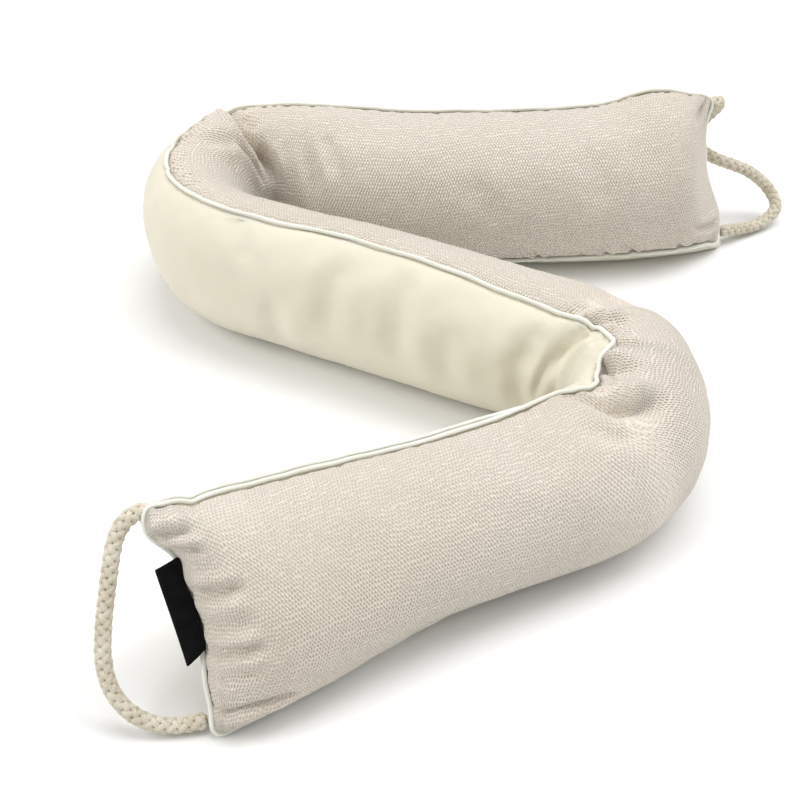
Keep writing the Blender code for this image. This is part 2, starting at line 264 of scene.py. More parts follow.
def eased(table, where_mm, columns=SEAM_COLUMNS, spread_mm=3.0):
    """A table of two columns, read at some places and rounded off at its knots."""
    knots = column(table, columns, columns[0])
    values = column(table, columns, columns[1])
    shifts = np.linspace(-1.0, 1.0, 7) * spread_mm
    return sum(np.interp(where_mm + shift, knots, values) for shift in shifts) / len(shifts)


# --- the cushion's surface
class Route:
    """The cushion's middle line on the floor, with its turns and sections."""

    def __init__(self, step=0.0005):
        lengths = column(COURSE, COURSE_COLUMNS, "length")
        turns = np.radians(column(COURSE, COURSE_COLUMNS, "turn_deg"))
        self.length = lengths.sum()
        self.travel = np.linspace(0.0, self.length, int(self.length / step) + 1)
        stretch = np.searchsorted(np.cumsum(lengths)[:-1], self.travel)
        even = (turns / lengths)[stretch]
        reach = int(EASE / step / 2)
        padded = np.pad(even, reach, mode="edge")
        self.turn = np.convolve(padded, np.ones(2 * reach + 1) / (2 * reach + 1), mode="valid")
        gap = self.travel[1]
        self.heading = math.radians(START_HEADING_DEG) + running_sum(self.turn) * gap
        east = START[0] + running_sum(np.cos(self.heading)) * gap
        north = START[1] + running_sum(np.sin(self.heading)) * gap
        self.line = np.column_stack([east, north])
        shares = column(SECTIONS, SECTION_COLUMNS, "share")
        sizes = np.column_stack([column(SECTIONS, SECTION_COLUMNS, name)
                                 for name in SECTION_COLUMNS[1:]])
        self.sections = natural_spline(shares, sizes, self.travel / self.length)

    def at(self, travel):
        """Places on the line, its direction and turn there, and the sizes of the section."""
        inside = np.clip(travel, 0.0, self.length)
        heading = np.interp(inside, self.travel, self.heading)
        along = np.column_stack([np.cos(heading), np.sin(heading)])
        flat = read(inside, self.travel, self.line) + along * (travel - inside)[:, None]
        sizes = [np.interp(inside, self.travel, column) for column in self.sections.T]
        return flat, along, np.interp(inside, self.travel, self.turn), sizes


def swell(distance):
    """How full the cushion is at a distance from its end."""
    part = np.clip(distance / END_ROUND, 0, 1)
    return np.sqrt(1.0 - (1.0 - part) ** 2.2)


def corner(distance):
    """How much the seam is rounded off at a distance from the end."""
    part = np.clip(1.0 - distance / CORNER_ROUND, 0, 1)
    return CORNER_ROUND * (1.0 - np.sqrt(1.0 - part ** 2))


def around_gap(a, b):
    """The angle from b to a in degrees, the short way round."""
    return (a - b + 180.0) % 360.0 - 180.0


def surface(route, travel, angle):
    """Points of the cushion's smooth surface; the angle is as in the CAD part."""
    nearest = np.minimum(travel, route.length - travel)
    outward = np.where(travel < route.length / 2, -1.0, 1.0)
    drawn_in = END_HOLLOW * np.sin(angle) ** 2 * np.clip(1.0 - nearest / END_ROUND, 0, 1)
    flat, along, turn, (full_height, front, back, lean) = route.at(travel - outward * drawn_in)
    lean = np.radians(lean)
    half_height = full_height - corner(nearest)
    side = np.sin(angle)
    full = np.where(side >= 0.0, front, back)
    bulge = END_HALF + (full - END_HALF) * swell(nearest)
    centre = np.hypot(full_height * np.cos(lean), back * np.sin(lean)) - SETTLE
    tall = half_height * np.cos(angle)
    wide = bulge * side
    to_right = wide * np.cos(lean) - tall * np.sin(lean)
    height = centre + tall * np.cos(lean) + wide * np.sin(lean)
    inner = to_right * -np.sign(turn)
    limit = TUCK / np.maximum(np.abs(turn), 1e-6)
    tucked = np.where(inner > 0.0, limit * np.tanh(np.maximum(inner, 0.0) / limit), inner)
    to_right = np.where(turn == 0.0, to_right, tucked * -np.sign(turn))
    across = np.stack([along[:, 1], -along[:, 0]], axis=1)
    return np.column_stack([flat + across * to_right[:, None], height])


def normals(route, travel, angle):
    """Outward directions of the smooth surface."""
    small = 0.0006
    turn = 0.012
    ahead = surface(route, np.minimum(travel + small, route.length), angle)
    behind = surface(route, np.maximum(travel - small, 0.0), angle)
    down = surface(route, travel, angle + turn)
    up = surface(route, travel, angle - turn)
    return unit(np.cross(down - up, ahead - behind))


def lumps(points, seed, scale, octaves=3):
    """Smooth uneven values between about -1 and 1, from a few crossing waves."""
    made = np.random.default_rng(seed)
    total = np.zeros(len(points))
    weight = 1.0
    for _ in range(octaves):
        for _ in range(5):
            direction = made.normal(size=3)
            direction /= np.linalg.norm(direction)
            rate = 2.0 * math.pi / (scale * made.uniform(0.7, 1.4))
            total += weight / 5.0 * np.sin(points @ direction * rate + made.uniform(0.0, 6.28))
        weight *= 0.5
        scale *= 0.5
    return total


class Relief:
    """Everything that stands out of or sinks into the smooth surface."""

    def __init__(self, route):
        self.route = route
        self.creases = [self.line(*row) for row in CREASES]
        made = np.random.default_rng(GATHER_SEED)
        # the front side of the upper seam, its back side, and the front side of the lower seam
        for table, inward, share in ((UPPER_SEAM, 1.0, 1.0), (UPPER_SEAM, -1.0, GATHER_BACK_SHARE),
                                     (LOWER_SEAM, -1.0, 1.0)):
            place = made.uniform(*GATHER_FIRST_MM)
            while place < route.length * 1000.0 - GATHER_END_MM:
                seam = eased(table, np.array([place]))[0]
                bend = abs(float(np.interp(place / 1000.0, route.travel, route.turn)))
                reach = made.uniform(*GATHER_REACH_DEG) + 0.5 * bend
                depth = made.uniform(*GATHER_DEPTH_MM) * (1.0 + bend * 0.05) * share
                slant = made.uniform(*GATHER_SLANT_MM)
                points = ((place, seam + inward * 1.0),
                          (place + slant * 0.5, seam + inward * reach * 0.5),
                          (place + slant, seam + inward * reach))
                width = made.uniform(*GATHER_WIDTH_MM)
                self.creases.append(self.line(depth, width, 0.4, 0.4, 0, points))
                place += made.uniform(*GATHER_GAP_MM) / (1.0 + bend * 0.04)

    def line(self, depth_mm, width_mm, crisp, rim, side, points):
        """One crease: its path on the surface, and how soon it opens along that."""
        table = np.array(points, float)
        knots = np.arange(len(table), dtype=float)
        fine = natural_spline(knots, table, np.linspace(0.0, knots[-1], 60))
        travel = np.clip(fine[:, 0] / 1000.0, 0.0, self.route.length)
        path = surface(self.route, travel, np.radians(fine[:, 1]))
        first = fine[:1]
        sewn = not 2.0 < first[0, 0] < self.route.length * 1000.0 - 2.0
        for seam in (UPPER_SEAM, LOWER_SEAM):
            sewn = sewn or abs(around_gap(first[0, 1], eased(seam, first[:, 0])[0])) < 9.0
        opening = 0.12 if sewn else 0.40
        return path, fine, depth_mm / 1000.0, width_mm / 1000.0, crisp, rim, side, opening

    def height(self, points, travel, angle):
        """Height out of the smooth surface at each of its points, in metres."""
        total = np.zeros(len(points))
        degrees = np.degrees(angle)
        for place, where, along, around, height in SWELLS:
            off = ((travel * 1000.0 - place) / along) ** 2
            off += (around_gap(degrees, where) / around) ** 2
            total += height / 1000.0 * np.exp(-off)
        for path, fine, depth, width, crisp, rim, side, opening in self.creases:
            reach = width * 5.0
            low = path.min(axis=0) - reach
            high = path.max(axis=0) + reach
            close = np.nonzero(((points > low) & (points < high)).all(axis=1))[0]
            if len(close) == 0:
                continue
            off = np.linalg.norm(points[close][:, None] - path[None], axis=2)
            nearest = off.argmin(axis=1)
            off = off.min(axis=1) / width
            share = nearest / (len(path) - 1.0)
            fade = np.clip(np.minimum((share + 0.03) / opening, (1.0 - share) / 0.35), 0, 1)
            fade = fade * fade * (3.0 - 2.0 * fade)
            slope = np.gradient(fine, axis=0)[nearest]
            gap = np.column_stack([travel[close] * 1000.0 - fine[nearest, 0],
                                   around_gap(degrees[close], fine[nearest, 1])])
            way = np.sign(slope[:, 1].mean() or 1.0)
            turned = (slope[:, 1] * gap[:, 0] - slope[:, 0] * gap[:, 1]) * way
            steep = np.maximum(np.hypot(slope[:, 0], slope[:, 1]), 1e-6)
            sided = np.tanh(turned / steep / 1.5) * side
            gentle = np.maximum(sided, 0.0)
            sharp = np.maximum(-sided, 0.0)
            stretched = off / (1.0 + 0.55 * gentle) * (1.0 + 0.5 * sharp)
            dip = np.exp(-stretched ** 2) * (1.0 - crisp) + np.exp(-1.6 * stretched) * crisp
            raised = rim * (1.0 - 0.9 * gentle) * np.exp(-((off - 1.7) / 0.9) ** 2)
            total[close] += fade * depth * (raised - dip)
        return total


# --- materials
class Nodes:
    """Short ways to build a material's node tree."""

    def __init__(self, name):
        self.material = bpy.data.materials.new(name)
        self.material.use_nodes = True
        self.tree = self.material.node_tree

    def new(self, kind, **inputs):
        node = self.tree.nodes.new("ShaderNode" + kind)
        for name, value in inputs.items():
            self.put(node.inputs[name], value)
        return node

    def put(self, socket, value):
        if isinstance(value, bpy.types.NodeSocket):
            self.tree.links.new(value, socket)
        else:
            socket.default_value = value

    def math(self, operation, *values):
        node = self.new("Math")
        node.operation = operation
        for socket, value in zip(node.inputs, values):
            self.put(socket, value)
        return node.outputs[0]

    def scaled(self, value, factor):
        return self.math("MULTIPLY", value, factor)

    def wave(self, value, period):
        """A sine along a coordinate, once per period."""
        return self.math("SINE", self.scaled(value, 2.0 * math.pi / period))

    def uv(self, name="weave"):
        """The cloth's coordinates along the piece and across it, in metres."""
        node = self.new("UVMap")
        node.uv_map = name
        parts = self.new("SeparateXYZ", Vector=node.outputs[0])
        return parts.outputs[0], parts.outputs[1]

    def join(self, x, y):
        return self.new("CombineXYZ", X=x, Y=y).outputs[0]

    def attribute(self, name):
        node = self.new("Attribute")
        node.attribute_name = name
        return node.outputs["Fac"]

    def place(self):
        return self.new("TexCoord").outputs["Object"]

    def noise(self, vector, scale, detail=2.0, rough=0.5):
        node = self.new("TexNoise", Vector=vector, Scale=scale, Detail=detail, Roughness=rough)
        return node.outputs[0]

    def blotch(self, scale, detail=3.0):
        """Soft uneven patches, from 0 to 1."""
        return self.span(self.noise(self.place(), scale, detail), 0.35, 0.65)

    def span(self, value, low, high, to_low=0.0, to_high=1.0):
        node = self.new("MapRange")
        node.clamp = True
        for socket, given in zip(node.inputs, (value, low, high, to_low, to_high)):
            self.put(socket, given)
        return node.outputs[0]

    def mix(self, share, first, second):
        node = self.new("Mix")
        node.data_type = "RGBA"
        self.put(node.inputs[0], share)
        for socket, value in ((node.inputs[6], first), (node.inputs[7], second)):
            self.put(socket, value if isinstance(value, bpy.types.NodeSocket) else (*value, 1.0))
        return node.outputs[2]

    def bump(self, height, distance, strength=1.0, normal=None):
        node = self.new("Bump", Height=height, Distance=distance, Strength=strength)
        if normal is not None:
            self.put(node.inputs["Normal"], normal)
        return node.outputs[0]

    def finish(self, colour, roughness, normal, sheen, specular=0.25):
        inputs = self.tree.nodes["Principled BSDF"].inputs
        for name, value in (("Base Color", colour), ("Roughness", roughness), ("Normal", normal),
                            ("Specular IOR Level", specular), ("Sheen Weight", sheen),
                            ("Sheen Roughness", 0.6)):
            self.put(inputs[name], value)
        return self.material


# Two slanting waves of the knit, as turns per metre along the cushion and around it.
GRAIN_COLUMNS = ("along", "around", "strength")
GRAIN = ((560.0, 185.0, 0.56), (-545.0, 265.0, 0.50))
CELLS_ALONG = 550.0
CELLS_AROUND = 450.0


def grain(nodes, uv_name):
    """Staggered rows of small slanted slivers, from about -1 to 1."""
    u, v = nodes.uv(uv_name)
    cells = nodes.join(nodes.scaled(u, CELLS_ALONG), nodes.scaled(v, CELLS_AROUND))
    drift = nodes.span(nodes.noise(cells, 0.30, 2.0), 0.3, 0.7, -0.20, 0.20)
    total = nodes.span(nodes.noise(cells, 1.1, 1.0), 0.25, 0.75, -0.15, 0.15)
    for along, around, strength in GRAIN:
        phase = nodes.math("ADD", nodes.scaled(u, along), nodes.scaled(v, around))
        phase = nodes.math("ADD", phase, drift)
        wave = nodes.math("COSINE", nodes.scaled(phase, 2.0 * math.pi))
        total = nodes.math("ADD", total, nodes.scaled(wave, strength))
    return total


def front_fabric():
    """Greige cloth with raised slivers; painted highlight lightens their tops and painted shade
    darkens the hollows between them.
    """
    nodes = Nodes("front_fabric")
    plain = grain(nodes, "weave")
    bent = grain(nodes, "bend")
    share = nodes.attribute("bend_share")
    woven = nodes.math("ADD", nodes.scaled(plain, nodes.math("SUBTRACT", 1.0, share)),
                       nodes.scaled(bent, share))
    place = nodes.place()
    patch = nodes.span(nodes.noise(place, 26.0, 3.0), 0.35, 0.65, 0.75, 1.0)
    # painted shade darkens the knit's hollows and painted highlight lightens the slivers' tops,
    # both weaker in patches
    pit_painted_shade = nodes.scaled(nodes.span(woven, -0.10, -0.85), patch)
    tip_painted_highlight = nodes.scaled(nodes.span(woven, 0.20, 0.90), patch)
    ground = nodes.mix(nodes.blotch(9.0, 2.0), (0.730, 0.650, 0.545), (0.755, 0.685, 0.590))
    lit = nodes.mix(nodes.scaled(tip_painted_highlight, 0.16), ground, (0.92, 0.87, 0.78))
    colour = nodes.mix(nodes.scaled(pit_painted_shade, 0.42), lit, (0.34, 0.285, 0.23))
    fibre = nodes.noise(place, 2200.0, 2.0)
    first = nodes.bump(fibre, 0.00008, 0.5)
    normal = nodes.bump(woven, 0.00046, 1.0, first)
    return nodes.finish(colour, nodes.span(woven, -1.0, 1.0, 0.95, 0.82), normal, 0.30)


BACK_THREAD = 0.00062


def back_fabric():
    """Smooth cream cotton."""
    nodes = Nodes("back_fabric")
    place = nodes.place()
    u, v = nodes.uv()
    threads = nodes.scaled(nodes.wave(u, BACK_THREAD), nodes.wave(v, BACK_THREAD))
    slub = nodes.noise(nodes.join(nodes.scaled(u, 90.0), nodes.scaled(v, 900.0)), 1.0, 2.0)
    ground = nodes.mix(nodes.blotch(14.0), (0.705, 0.662, 0.530), (0.732, 0.692, 0.565))
    colour = nodes.mix(nodes.span(slub, 0.35, 0.75, 0.0, 0.18), ground, (0.61, 0.56, 0.45))
    crumple = nodes.bump(nodes.noise(place, 70.0, 4.0, 0.55), 0.0012, 0.35)
    normal = nodes.bump(threads, 0.00005, 0.5, crumple)
    return nodes.finish(colour, 0.82, normal, 0.22)


PIPING_THREAD = 0.0008


def piping_fabric():
    """Ivory cotton, cut on the bias."""
    nodes = Nodes("piping")
    place = nodes.place()
    u, v = nodes.uv()
    bias = nodes.scaled(nodes.wave(nodes.math("ADD", u, v), PIPING_THREAD),
                        nodes.wave(nodes.math("SUBTRACT", u, v), PIPING_THREAD))
    colour = nodes.mix(nodes.blotch(40.0), (0.735, 0.738, 0.655), (0.820, 0.820, 0.750))
    crumple = nodes.bump(nodes.noise(place, 260.0, 3.0), 0.0005, 0.4)
    normal = nodes.bump(bias, 0.00006, 0.5, crumple)
    return nodes.finish(colour, 0.72, normal, 0.2)


def rope_cotton():
    """Natural cotton strands with fibres along them."""
    nodes = Nodes("rope")
    u, v = nodes.uv()
    fibre = nodes.noise(nodes.join(nodes.scaled(u, 500.0), nodes.scaled(v, 4200.0)), 1.0, 3.0)
    ground = nodes.mix(nodes.blotch(120.0), (0.670, 0.600, 0.465), (0.810, 0.755, 0.635))
    colour = nodes.mix(nodes.span(fibre, 0.35, 0.62, 0.45, 0.0), ground, (0.50, 0.43, 0.30))
    normal = nodes.bump(fibre, 0.0006, 0.8)
    return nodes.finish(colour, 0.9, normal, 0.35)


def rope_core_painted_shade():
    """The inside that shows between the strands, coloured dark as painted shade."""
    nodes = Nodes("rope_core_painted_shade")
    place = nodes.place()
    blotch = nodes.span(nodes.noise(place, 900.0, 2.0), 0.3, 0.7)
    # painted shade: dark browns standing in for the shadowed gaps between the strands
    colour = nodes.mix(blotch, (0.25, 0.21, 0.14), (0.36, 0.31, 0.22))
    normal = nodes.bump(nodes.noise(place, 2500.0, 2.0), 0.0003, 0.6)
    return nodes.finish(colour, 0.95, normal, 0.2)


def label_cloth():
    """Black woven tape, left bare."""
    nodes = Nodes("label")
    u, v = nodes.uv()
    woven = nodes.scaled(nodes.wave(u, 0.0005), nodes.wave(v, 0.0009))
    worn = nodes.span(nodes.noise(nodes.place(), 180.0, 3.0), 0.4, 0.75)
    colour = nodes.mix(worn, (0.0025, 0.0025, 0.0028), (0.006, 0.0055, 0.006))
    normal = nodes.bump(woven, 0.00008, 0.7)
    return nodes.finish(colour, 0.85, normal, 0.0, specular=0.12)


def floor_paint():
    """The pale studio floor."""
    nodes = Nodes("floor")
    place = nodes.place()
    blotch = nodes.span(nodes.noise(place, 3.0, 2.0), 0.3, 0.7)
    colour = nodes.mix(blotch, (0.855, 0.855, 0.85), (0.875, 0.875, 0.87))
    normal = nodes.bump(nodes.noise(place, 300.0, 2.0), 0.0001, 0.1)
    return nodes.finish(colour, 0.9, normal, 0.0)


# --- meshes
def add_object(name, data):
    made = bpy.data.objects.new(name, data)
    bpy.context.scene.collection.objects.link(made)
    return made


def cells_of(grid):
    """The four corners of each cell between the rows and columns of a grid."""
    corners = [grid[:-1, :-1], grid[:-1, 1:], grid[1:, 1:], grid[1:, :-1]]
    cells = np.stack(corners, axis=2)
    return cells.reshape(-1, *cells.shape[2:])


def add_piece(name, points, faces, looks, uvs):
    """A piece on the root body, with its cloth coordinates."""
    mesh = bpy.data.meshes.new(name)
    mesh.from_pydata(points.reshape(-1, 3).tolist(), [], faces)
    for look in looks:
        mesh.materials.append(look)
    mesh.shade_smooth()
    for uv_name, values in uvs:
        layer = mesh.uv_layers.new(name=uv_name)
        layer.data.foreach_set("uv", values.reshape(-1).astype(np.float32))
    mesh.update()
    made = add_object(name, mesh)
    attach(made, "root")
    return made


def grid_object(name, grid, look, uvs, closed=False, flip=False):
    """A sheet of quads from rows and columns of points, with its weave coordinates."""
    index = np.arange(grid.shape[0] * grid.shape[1]).reshape(grid.shape[:2])
    if closed:
        index = np.concatenate([index, index[:, :1]], axis=1)
    way = -1 if flip else 1
    cells = []
    for uv_name, values in uvs:
        if closed:
            values = np.concatenate([values, values[:, :1]], axis=1)
            values[:, -1, 1] = 2.0 * values[:, -2, 1] - values[:, -3, 1]
        cells.append((uv_name, cells_of(values)[:, ::way]))
    return add_piece(name, grid, cells_of(index)[:, ::way].tolist(), [look], cells)


route = Route()
relief = Relief(route)

# How far apart the rings of the panels are: closest in the bends and at the ends.
SPACING_COLUMNS = ("travel", "gap")
SPACING = (
    (0.0, 0.0004), (0.02, 0.0018), (0.06, 0.0022), (0.20, 0.0022), (0.225, 0.0012),
    (0.36, 0.0012), (0.39, 0.0024), (0.60, 0.0024), (0.625, 0.0012), (0.75, 0.0012),
    (0.78, 0.0024), (0.96, 0.0022), (0.984, 0.0018), (1.004, 0.0004),
)


def ring_places():
    """Places of the panels' rings along the cushion."""
    travel = column(SPACING, SPACING_COLUMNS, "travel")
    gap = column(SPACING, SPACING_COLUMNS, "gap")
    places = [0.0]
    while places[-1] < route.length:
        places.append(places[-1] + np.interp(places[-1], travel, gap))
    places = np.array(places)
    return places * route.length / places[-1]


PLACES = ring_places()


GROOVE_DEEP = 0.0020
GROOVE_DEG = 4.5
LUMP_HIGH = 0.0007
LUMP_WIDE = 0.045
LUMP_SEED = 3


def shown_points(travel, angle, seam_up, seam_low):
    """The finished surface: the smooth one, its relief, and the dip beside the piping."""
    base = surface(route, travel, angle)
    out = normals(route, travel, angle)
    high = relief.height(base, travel, angle)
    nearest = np.minimum(travel, route.length - travel)
    beside = np.minimum(np.abs(around_gap(np.degrees(angle), seam_up)),
                        np.abs(around_gap(np.degrees(angle), seam_low)))
    groove = GROOVE_DEEP * np.exp(-(beside / GROOVE_DEG) ** 1.6) * np.clip(nearest / 0.012, 0, 1)
    high = high + LUMP_HIGH * lumps(base, LUMP_SEED, LUMP_WIDE) * np.clip(nearest / 0.02, 0, 1)
    fade = np.clip(nearest / 0.003, 0, 1)
    points = base + out * ((high - groove) * (0.25 + 0.75 * fade))[:, None]
    _, along, _, _ = route.at(travel)
    sign = np.where(travel < route.length / 2, -1.0, 1.0)
    points[:, :2] += along * (sign * end_swing(travel, np.degrees(angle)))[:, None]
    points[:, 2] = np.maximum(points[:, 2], 0.0)
    return points


# Where each end's seam swings out (+) or is drawn in (-), by the angle down from its upper corner.
SWING_COLUMNS = ("degrees", "half_width_deg", "out")
NEAR_SWINGS = ((0.0, 14.0, -0.0030), (30.0, 10.0, 0.0020), (54.0, 9.0, -0.0038),
               (122.0, 22.0, 0.0022))
FAR_SWINGS = ((0.0, 12.0, -0.0035), (116.0, 26.0, 0.0060), (156.0, 12.0, -0.0020))
FAR_RIPPLE = 0.0008
SWING_REACH = 0.022


def swings(table, turned):
    return sum(out * np.exp(-((turned - degrees) / half_width) ** 2)
               for degrees, half_width, out in table)


def end_swing(travel, degrees):
    """How far the ends swing out along the cushion, beyond the smooth surface."""
    turned = np.abs(around_gap(degrees, 0.0))
    near = swings(NEAR_SWINGS, turned)
    far = swings(FAR_SWINGS, turned) + FAR_RIPPLE * np.sin(np.radians(turned) * 6.0)
    nearest = np.minimum(travel, route.length - travel)
    share = np.clip(1.0 - nearest / SWING_REACH, 0, 1) ** 2
    return np.where(travel < route.length / 2, near, far) * share


UPPER_DEG = eased(UPPER_SEAM, PLACES * 1000.0)
LOWER_DEG = eased(LOWER_SEAM, PLACES * 1000.0)
FRONT_COLUMNS = 124
BACK_COLUMNS = 92
SEAM_TURN_IN = 0.003
WEAVE_END = 0.05
BEND_MIDDLE = 0.300
BEND_HALF = 0.055
BEND_BLEND = 0.02


def make_panel(name, look, front):
    """One long panel between the two seams, turned in a little behind the piping. Its weave runs
    along the middle line, and inside the right bend along the cloth itself."""
    columns = FRONT_COLUMNS if front else BACK_COLUMNS
    upper = UPPER_DEG
    lower = LOWER_DEG
    share = np.linspace(0.0, 1.0, columns)
    share = share - 0.055 * np.sin(2.0 * math.pi * share)
    reach = lower - upper if front else lower - 360.0 - upper
    degrees = upper[:, None] + reach[:, None] * share[None]
    travel = np.repeat(PLACES, columns)
    angle = np.radians(degrees.reshape(-1))
    points = shown_points(travel, angle, np.repeat(upper, columns), np.repeat(lower, columns))
    grid = points.reshape(len(PLACES), columns, 3)
    edges = np.stack([grid[:, 0], grid[:, -1]], axis=1)
    core = (surface(route, PLACES, np.radians(upper)) * 0.5
            + surface(route, PLACES, np.radians(lower)) * 0.5)
    edges = edges + unit(core[:, None] - edges) * SEAM_TURN_IN
    grid = np.concatenate([edges[:, :1], grid, edges[:, 1:]], axis=1)

    width = grid.shape[1]
    around = running_lengths(grid, 1)
    around -= around[:, width // 2:width // 2 + 1]
    step = np.linalg.norm(np.diff(grid, axis=0), axis=2)
    real = np.median(step[:, width // 4:width * 3 // 4], axis=1)
    near_end = np.minimum(PLACES, route.length - PLACES)[1:] < WEAVE_END
    along = from_nothing(np.where(near_end, real, np.diff(PLACES)))
    weave = np.stack([np.repeat(along[:, None], width, axis=1), around], axis=2)
    own = from_nothing((step + np.roll(step, 1, 1) + np.roll(step, -1, 1)) / 3.0)
    own -= own[np.argmin(np.abs(PLACES - BEND_MIDDLE))][None]
    bend = np.stack([own, around], axis=2)
    bend_share = np.clip((BEND_HALF - np.abs(PLACES - BEND_MIDDLE)) / BEND_BLEND, 0, 1)
    bend_share = np.repeat(bend_share[:, None], width, axis=1)
    made = grid_object(name, grid, look, (("weave", weave), ("bend", bend)), flip=not front)
    share = made.data.attributes.new("bend_share", "FLOAT", "POINT")
    share.data.foreach_set("value", bend_share.reshape(-1).astype(np.float32))
    return made


# --- the piping
PIPING_RADIUS = 0.00130
PIPING_SIDES = 12
PIPING_UNEVEN = 0.00012
PIPING_WANDER = 0.0008
PIPING_WANDER_SEED = 11
PIPING_UNEVEN_SEED = 5
FOLD_RADIUS = 0.00110
FOLD_SIDES = 10
FOLD_UNEVEN = 0.00015
FOLD_UNEVEN_SEED = 6
FOLD_BEHIND = 0.0025
OFF_FLOOR = 1.02
SEAM_STEPS = 1400

# How far the piping's middle stands out of the seam, in mm: on top, at the far end, underneath
# and at the near end.
PROUD_MM = (2.2, 1.0, 1.6, 0.5)

# How far the fold of cloth behind the piping's cord stands up along the upper seam, and elsewhere.
FOLD_LIFT_COLUMNS = ("travel_mm", "lift_mm")
FOLD_LIFT = ((0, 1.0), (20, 1.9), (190, 1.9), (232, -2.6), (690, -2.6), (740, 0.2), (1004, 0.6))


OTHER_LIFT_MM = -1.2


def end_seam(travel, angle):
    """The seam across one of the ends, at angles down from its upper corner."""
    flat = np.full(len(angle), travel)
    across = (surface(route, flat, angle) + surface(route, flat, -angle)) / 2.0
    _, along, _, _ = route.at(flat)
    sign = 1.0 if travel > 0.0 else -1.0
    across[:, :2] += along * (sign * end_swing(flat, np.degrees(angle)))[:, None]
    return across


def seam_ring():
    """The seam once round the cushion in even steps, with the direction there from the back panel
    to the front one, and how far the piping stands out and its fold stands up."""
    upper = UPPER_DEG
    lower = LOWER_DEG
    top = shown_points(PLACES, np.radians(upper), upper, lower)
    foot = shown_points(PLACES, np.radians(lower), upper, lower)
    core = (top + foot) / 2.0
    ends = []
    for index, travel in ((-1, route.length), (0, 0.0)):
        down = np.radians(np.linspace(upper[index], lower[index], 42)[1:-1])
        ends.append(end_seam(travel, down))
    line = np.concatenate([top, ends[0], foot[::-1], ends[1][::-1]])
    _, along, _, _ = route.at(PLACES)
    tangent = np.column_stack([along, np.zeros(len(along))])
    to_core = unit(top - core)
    side_top = np.cross(tangent, to_core)
    face = np.concatenate([side_top,
                           np.repeat(side_top[-1:], len(ends[0]), axis=0),
                           side_top[::-1],
                           np.repeat(side_top[:1], len(ends[1]), axis=0)])
    loop = np.concatenate([line, line[:1]])
    far = running_lengths(loop)
    where = np.linspace(0.0, far[-1], SEAM_STEPS, endpoint=False)
    even = smooth_loop(read(where, far, loop), 4)
    faces = np.concatenate([face, face[:1]])
    even_face = smooth_loop(unit(read(where, far, faces)), 6)
    lift = np.full(len(line), OTHER_LIFT_MM)
    lift[:len(PLACES)] = eased(FOLD_LIFT, PLACES * 1000.0, FOLD_LIFT_COLUMNS)
    lift = lift / 1000.0
    lift = np.interp(where, far, np.append(lift, lift[0]))
    counts = (len(PLACES), len(ends[0]), len(PLACES), len(ends[1]))
    proud = np.repeat(PROUD_MM, counts) / 1000.0
    proud = np.interp(where, far, np.append(proud, proud[0]))
    return even, unit(even_face), where, smooth_loop(lift, 20), smooth_loop(proud, 40)


def smooth_loop(values, times):
    for _ in range(times):
        values = (np.roll(values, 1, 0) + 2.0 * values + np.roll(values, -1, 0)) / 4.0
    return values


def make_piping(look):
    """The covered cord all round the seam, and the fold of its cloth behind it."""
    line, face, where, lift, proud = seam_ring()
    along = unit(np.roll(line, -1, 0) - np.roll(line, 1, 0))
    outward = unit(np.cross(face, along))
    middle = line + outward * proud[:, None]
    made = np.random.default_rng(PIPING_WANDER_SEED)
    wander = smooth_loop(made.normal(size=(len(line), 2)), 60)
    wander = wander / np.abs(wander).max() * PIPING_WANDER
    middle = middle + outward * wander[:, :1] + face * wander[:, 1:]
    middle[:, 2] = np.maximum(middle[:, 2], PIPING_RADIUS * OFF_FLOOR)
    cord = tube(middle, face, PIPING_RADIUS, PIPING_SIDES, PIPING_UNEVEN, PIPING_UNEVEN_SEED)
    second = middle - face * FOLD_BEHIND + outward * lift[:, None]
    second[:, 2] = np.maximum(second[:, 2], FOLD_RADIUS * OFF_FLOOR)
    fold = tube(second, face, FOLD_RADIUS, FOLD_SIDES, FOLD_UNEVEN, FOLD_UNEVEN_SEED)
    return (ring_object("piping_cord", cord, where, look),
            ring_object("piping_fold", fold, where, look))


def circle(sides):
    """The sines and cosines of even turns."""
    turn = np.arange(sides) * 2.0 * math.pi / sides
    return np.cos(turn), np.sin(turn)


def tube(middle, face, radius, sides, rough, seed):
    """Rings round a closed line, a little uneven in thickness."""
    along = unit(np.roll(middle, -1, 0) - np.roll(middle, 1, 0))
    outward = unit(np.cross(face, along))
    beside = np.cross(along, outward)
    cosines, sines = circle(sides)
    made = np.random.default_rng(seed)
    uneven = smooth_loop(made.normal(size=(len(middle), 1)), 8)
    uneven = uneven / np.abs(uneven).max() * rough
    reach = (radius + uneven)[:, :, None]
    offset = outward[:, None] * cosines[:, None] + beside[:, None] * sines[:, None]
    return middle[:, None] + offset * reach


CLOTH_RADIUS = 0.0015


def ring_object(name, rings, where, look):
    """A closed tube, with its cloth measured along it and round it."""
    grid = np.concatenate([rings, rings[:1]], axis=0)
    travel = np.concatenate([where, [where[-1] + where[1]]])
    sides = rings.shape[1]
    round_it = np.arange(sides) * 2.0 * math.pi * CLOTH_RADIUS / sides
    uv = np.stack([np.repeat(travel[:, None], sides, axis=1),
                   np.repeat(round_it[None], len(travel), axis=0)], axis=2)
    return grid_object(name, grid, look, (("weave", uv),), closed=True)


# --- ropes
BRAID_RADIUS = 0.0030
BRAID_WAVE = 0.00042
STRAND_WIDE = 0.00165
STRAND_DEEP = 0.00115
BRAID_PITCH = 0.0230
STRANDS = 4
STRAND_SIDES = 9
STRAND_SIDE = 0.0011
STRAND_SLACK = 0.00016
STRAND_UNEVEN = 0.10
CLOSING = 0.0032
CORE_RADIUS = 0.0026
CORE_SIDES = 10
CORE_SIDE = 0.001
ROPE_STEP = 0.0009


